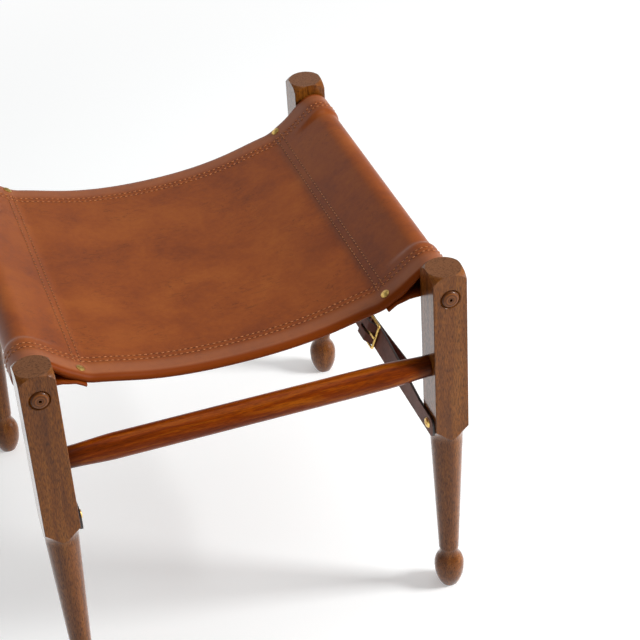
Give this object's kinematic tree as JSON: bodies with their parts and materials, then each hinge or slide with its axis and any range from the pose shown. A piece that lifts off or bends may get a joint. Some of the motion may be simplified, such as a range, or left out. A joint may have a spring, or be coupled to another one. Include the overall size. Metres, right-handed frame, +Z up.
{
  "type": "safari stool",
  "caption": "Low stool with turned wooden legs, a saddle-leather sling hung between round end rails, side stretchers and a brass-buckled leather strap across each end.",
  "frame": {"origin": "on the floor, under the middle of the stool", "axes": "+X along the sling from one end rail to the other, +Y along the end rails away from the front, +Z up"},
  "size_m": [0.4758, 0.491, 0.441],
  "materials": {
    "walnut": "satin oil finish, dark walnut stain",
    "rail_walnut": "polished, warmer than the legs",
    "saddle_leather": "semi-gloss saddle tan with darker burnished edges",
    "strap_leather": "waxed dark brown with black painted edges",
    "brass": "polished, lightly aged"
  },
  "bodies": {
    "stool": {"leg_front_right": "walnut", "leg_front_left": "walnut", "leg_back_right": "walnut", "leg_back_left": "walnut", "end_rail_right": "rail_walnut", "end_rail_left": "rail_walnut", "side_stretcher_front": "rail_walnut", "side_stretcher_back": "rail_walnut", "seat_sling": "saddle_leather", "sling_rivets": "brass", "sling_rivet_burrs": "brass", "pull_strap_right": "strap_leather", "buckle_strap_right": "strap_leather", "buckle_guard_right": "strap_leather", "fold_rivet_right": "brass", "fold_rivet_burr_right": "brass", "pull_strap_left": "strap_leather", "buckle_strap_left": "strap_leather", "buckle_guard_left": "strap_leather", "fold_rivet_left": "brass", "fold_rivet_burr_left": "brass", "strap_screws": "brass", "strap_washers": "brass"},
    "frame_right": {"buckle_frame_right": "brass"},
    "tongue_right": {"buckle_tongue_right": "brass"},
    "frame_left": {"buckle_frame_left": "brass"},
    "tongue_left": {"buckle_tongue_left": "brass"}
  },
  "joints": [
    {"name": "frame_right_rock", "type": "hinge", "parent": "stool", "child": "frame_right", "pos_m": [0.1984, -0.0265, 0.242], "axis": [-0.342, 0, -0.9397], "range_deg": [0, 15]},
    {"name": "tongue_right_lift", "type": "hinge", "parent": "frame_right", "child": "tongue_right", "pos_m": [0.1984, -0.0265, 0.242], "axis": [-0.342, 0, -0.9397], "range_deg": [0, 45]},
    {"name": "frame_left_rock", "type": "hinge", "parent": "stool", "child": "frame_left", "pos_m": [-0.1984, 0.0265, 0.242], "axis": [0.342, 0, -0.9397], "range_deg": [0, 15]},
    {"name": "tongue_left_lift", "type": "hinge", "parent": "frame_left", "child": "tongue_left", "pos_m": [-0.1984, 0.0265, 0.242], "axis": [0.342, 0, -0.9397], "range_deg": [0, 45]}
  ]
}
